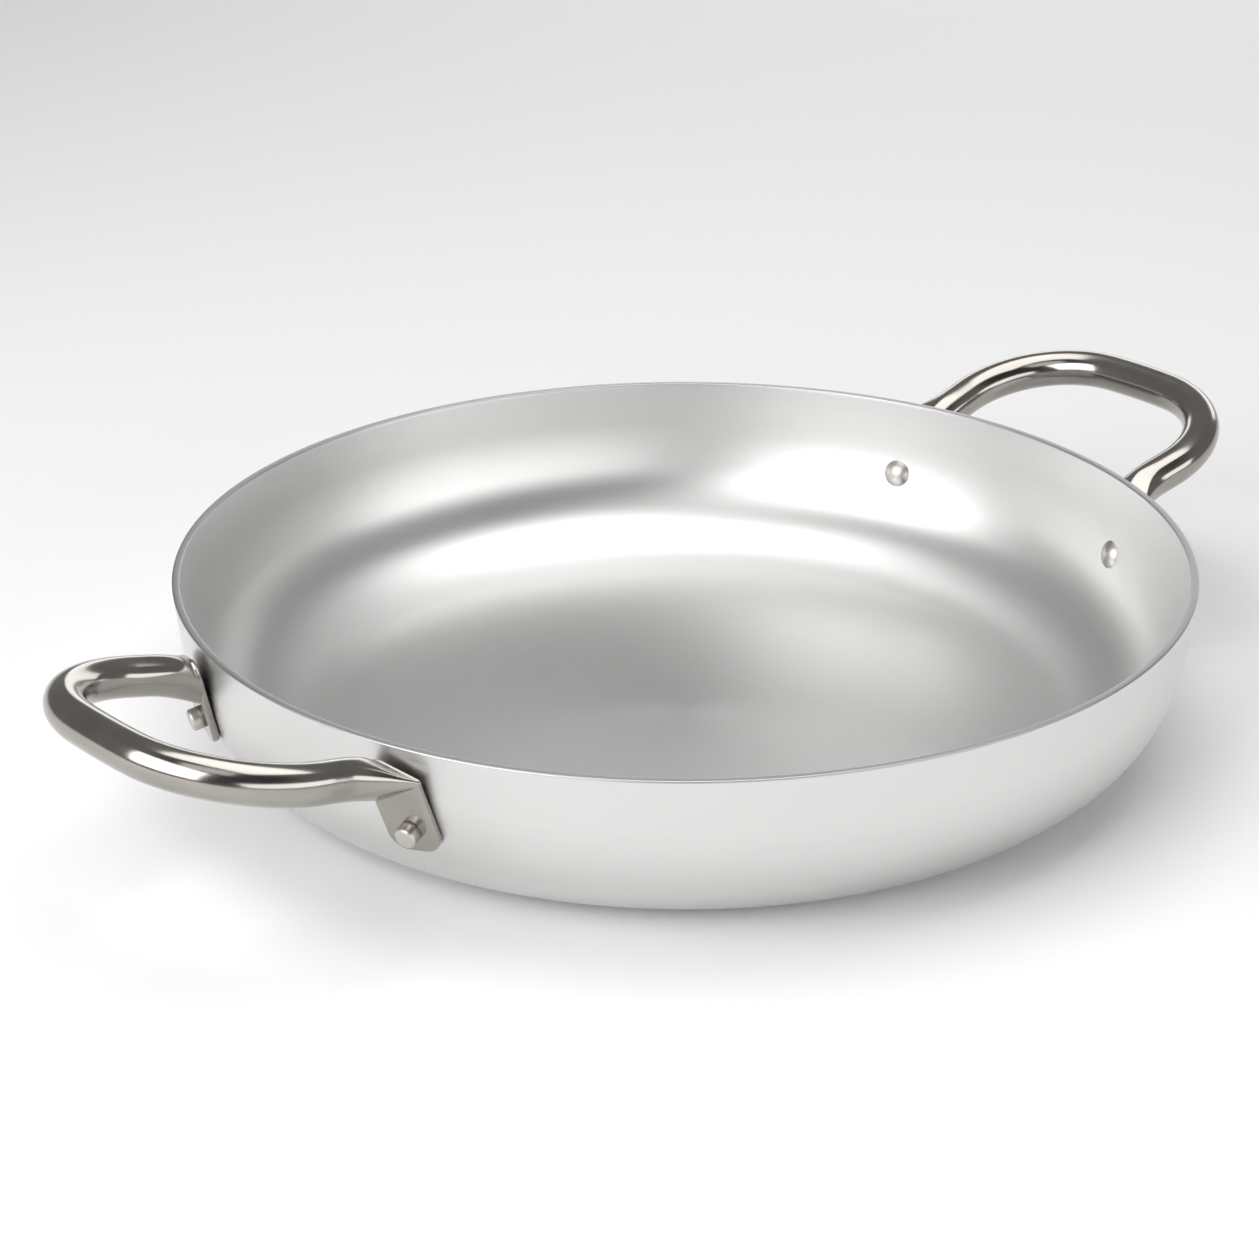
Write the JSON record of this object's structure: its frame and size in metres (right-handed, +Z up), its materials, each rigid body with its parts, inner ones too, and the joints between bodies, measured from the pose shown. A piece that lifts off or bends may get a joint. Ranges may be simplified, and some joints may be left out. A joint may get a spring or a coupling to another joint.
{
  "type": "braiser",
  "caption": "Shallow round metal braiser with a flat base, rounded corner, slightly flared wall and two upswept tube loop handles riveted to the wall.",
  "frame": {"origin": "centre of the base, on the surface that the pan stands on", "axes": "+Z up along the pan's axis, +X and -X towards the two handles"},
  "size_m": [0.4436, 0.3198, 0.0682],
  "materials": {
    "pan": "satin, finely turned",
    "handle": "polished stainless tube",
    "rivet": "satin"
  },
  "bodies": {
    "root": {"pan_body": "pan", "handle_right": "handle", "handle_left": "handle", "rivet_right_front": "rivet", "rivet_right_rear": "rivet", "rivet_left_front": "rivet", "rivet_left_rear": "rivet"}
  },
  "joints": []
}
